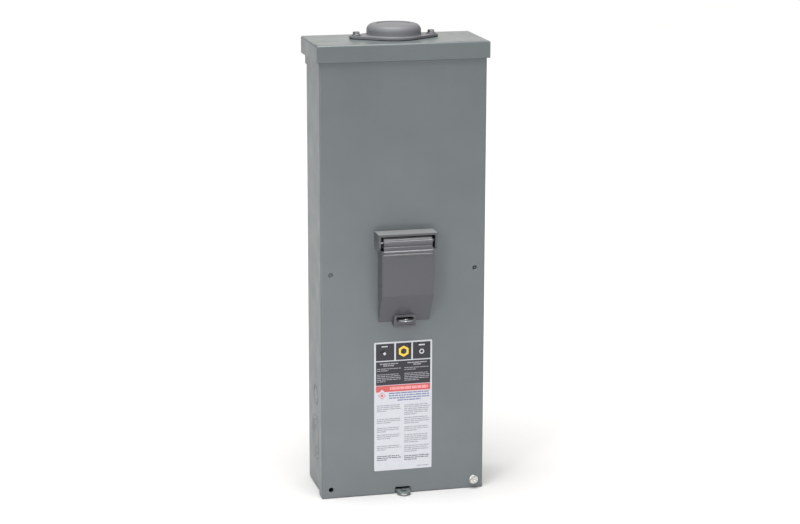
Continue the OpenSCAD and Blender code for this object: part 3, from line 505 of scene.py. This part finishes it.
def shade_dimples():
    """Painted shade: dark rings in the bottoms of the two dimples beside the handle, darker on the right."""
    height = hinge_axis().z - DIMPLE_DROP
    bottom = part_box("front_cover")[0].y + DIMPLE_DEPTH
    for name, across, paint in (("dimple_shade_left", -DIMPLE_X, PALE_DIMPLE_SHADE),
                                ("dimple_shade_right", DIMPLE_X, DEEP_DIMPLE_SHADE)):
        mesh = bmesh.new()
        ring(mesh, (across, height), SHADE_INNER, SHADE_OUTER, bottom, bottom - SHADE_THICKNESS)
        add_piece(name, mesh, paint, "cover")


# ---------------------------------------------------------------- studio

def add_floor():
    """Plain pale floor under the object."""
    mesh = bmesh.new()
    half = 30.0
    slab(mesh, (-half, -half, cad_low.z - 0.02), (half, half, cad_low.z))
    data = bpy.data.meshes.new("floor")
    mesh.to_mesh(data)
    mesh.free()
    s = Shader("floor_white", Specular_IOR_Level=0.1)
    s.link(s.mix(s.spread(s.noise(3.0), 0, 1), (0.535, 0.535, 0.537), (0.545, 0.545, 0.547)), "Base Color")
    s.link(s.spread(s.noise(5.0), 0.85, 0.95), "Roughness")
    data.materials.append(s.material)
    floor = bpy.data.objects.new("floor", data)
    scene.collection.objects.link(floor)


def add_lamp(name, place, aim, size, power, colour, spread=180):
    """Rectangular softbox at a place, turned to face a point."""
    lamp = bpy.data.lights.new(name, "AREA")
    lamp.spread = math.radians(spread)
    lamp.shape = "RECTANGLE"
    lamp.size, lamp.size_y = size
    lamp.energy = power
    lamp.color = colour
    item = bpy.data.objects.new(name, lamp)
    item.location = place
    item.rotation_mode = "QUATERNION"
    item.rotation_quaternion = (Vector(aim) - Vector(place)).to_track_quat("-Z", "Y")
    scene.collection.objects.link(item)


def add_sun(name, toward, strength, spread, colour):
    """Very wide, soft sun, so that the floor is lit alike everywhere."""
    sun = bpy.data.lights.new(name, "SUN")
    sun.energy = strength
    sun.angle = math.radians(spread)
    sun.color = colour
    item = bpy.data.objects.new(name, sun)
    item.rotation_mode = "QUATERNION"
    item.rotation_quaternion = Vector(toward).to_track_quat("Z", "Y")
    scene.collection.objects.link(item)


def add_studio():
    """White floor and dim sky, a wide sun overhead and softboxes round the object."""
    add_floor()
    world = bpy.data.worlds.new("studio")
    world.use_nodes = True
    background = world.node_tree.nodes["Background"]
    background.inputs["Color"].default_value = (0.97, 0.99, 1.0, 1.0)
    background.inputs["Strength"].default_value = 0.16
    scene.world = world
    add_sun("overhead_light", (-0.11, -0.13, 1.0), 5.6, 50, (1.0, 0.99, 0.975))
    middle = Vector((0, cad_low.y, 0))
    add_lamp("back_left_softbox", (-2.3, 0.6, 0.35), middle, (0.9, 1.6), 0.3, (1.0, 0.985, 0.965))
    add_lamp("back_softbox", (0.6, 2.7, 0.95), (0, 0, cad_high.z), (2.4, 0.9), 7.5, (1.0, 0.94, 0.86))
    add_lamp("front_left_softbox", (-1.75, -2.08, 1.2), middle, (0.4, 0.6), 22, (0.99, 0.995, 1.0))
    add_lamp("front_right_softbox", (0.70, -2.73, 1.03), middle, (0.6, 0.3), 11, (0.99, 0.995, 1.0))
    low = Vector((0, cad_low.y, cad_low.z))
    add_lamp("low_fill", (-0.2, -1.2, -0.28), low, (0.3, 0.2), 0.7, (1.0, 0.9, 1.0), spread=60)
    scene.view_settings.view_transform = "Standard"
    scene.view_settings.look = "None"
    scene.cycles.use_denoising = True


def add_camera():
    """Long lens, left of the object and above it."""
    azimuth, elevation = math.radians(13.876), math.radians(13.426)
    distance = 2.9065
    cover_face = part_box("front_cover")[0].y
    aim = Vector((-4.7 * MM, cover_face, (cad_low.z + cad_high.z) / 2 + 6.7 * MM))
    ahead = Vector((math.sin(azimuth) * math.cos(elevation),
                    math.cos(azimuth) * math.cos(elevation), -math.sin(elevation)))
    camera = bpy.data.cameras.new("camera")
    camera.sensor_width = 36.0
    camera.lens = 98.11
    camera.clip_start, camera.clip_end = 0.1, 200.0
    item = bpy.data.objects.new("camera", camera)
    item.location = aim - distance * ahead
    item.rotation_mode = "QUATERNION"
    roll = Quaternion((0, 0, 1), math.radians(0.13))
    item.rotation_quaternion = ahead.to_track_quat("-Z", "Y") @ roll
    scene.collection.objects.link(item)
    scene.camera = item


dress_cad_nodes()
print_label()
polish_door()
# Painted shade in the two dimples
shade_dimples()
add_studio()
add_camera()
